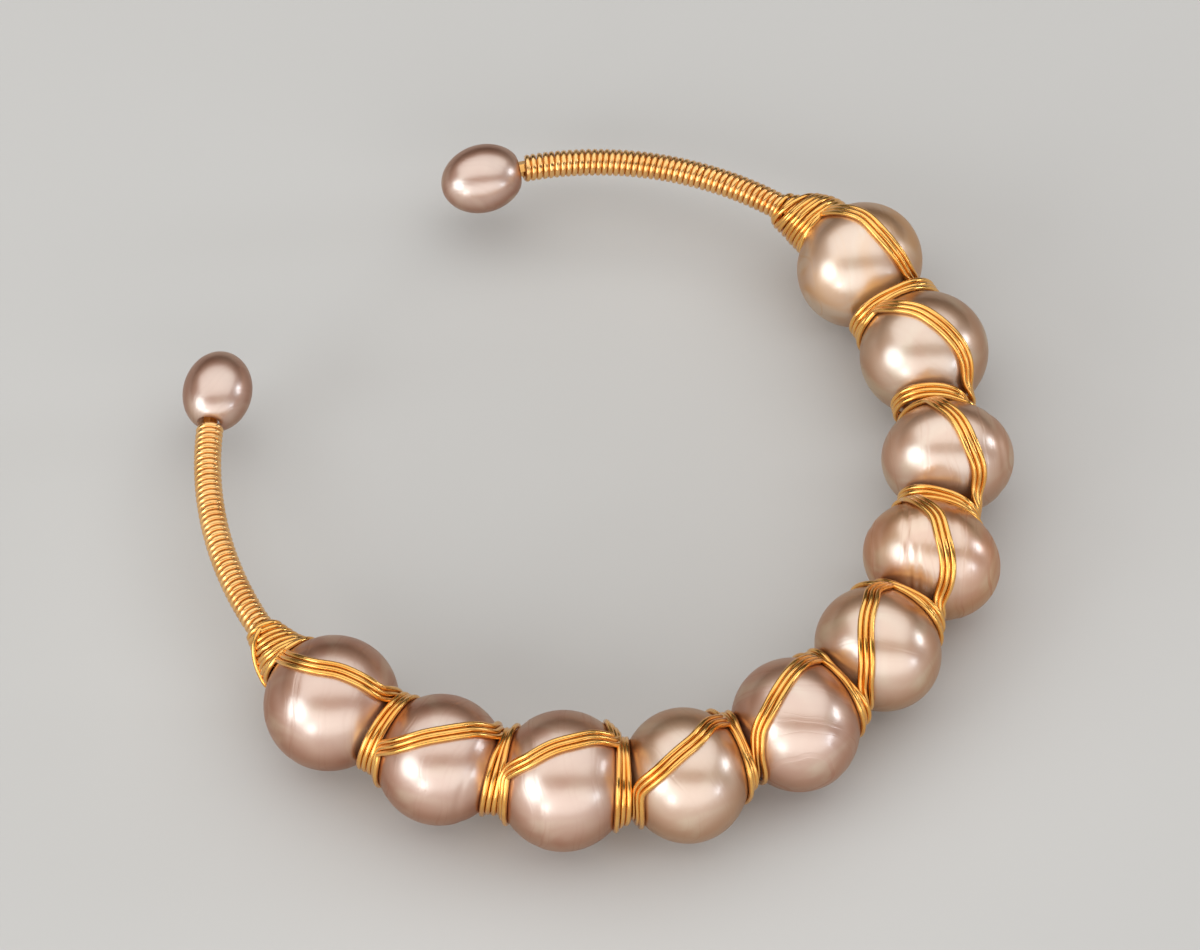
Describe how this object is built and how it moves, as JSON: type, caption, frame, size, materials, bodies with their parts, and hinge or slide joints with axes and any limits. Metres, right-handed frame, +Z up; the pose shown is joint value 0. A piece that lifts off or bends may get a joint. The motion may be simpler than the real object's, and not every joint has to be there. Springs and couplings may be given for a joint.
{
  "type": "pearl cuff bracelet",
  "caption": "Open pearl cuff on a stiff gold wire, with large round pearls, small oval end pearls, wire-coiled arms and thin wires wound round and across the pearls.",
  "frame": {"origin": "on the surface that the bracelet lies on, under the middle of its outline", "axes": "+Z up out of the lying ring, +X from the left arm to the right arm, +Y towards the mouth between the end pearls, -Y towards the pearls"},
  "size_m": [0.0724, 0.0652, 0.0121],
  "materials": {
    "pearl_pale": "pale pink nacre, satin lustre",
    "pearl_peach": "peach nacre, satin lustre",
    "pearl_rose": "copper rose nacre, satin lustre",
    "gold_wire": "bright gold plated wire"
  },
  "bodies": {
    "root": {"pearl_01": "pearl_pale", "pearl_02": "pearl_pale", "pearl_03": "pearl_pale", "pearl_04": "pearl_peach", "pearl_05": "pearl_pale", "pearl_06": "pearl_pale", "pearl_07": "pearl_pale", "pearl_08": "pearl_peach", "pearl_09": "pearl_peach", "pearl_10": "pearl_peach", "end_pearl_right": "pearl_rose", "end_pearl_left": "pearl_rose", "core_wire": "gold_wire", "coil_right": "gold_wire", "coil_left": "gold_wire", "collar_right": "gold_wire", "collar_left": "gold_wire", "wrap_wire_1": "gold_wire", "wrap_wire_2": "gold_wire", "wrap_wire_3": "gold_wire"}
  },
  "joints": []
}
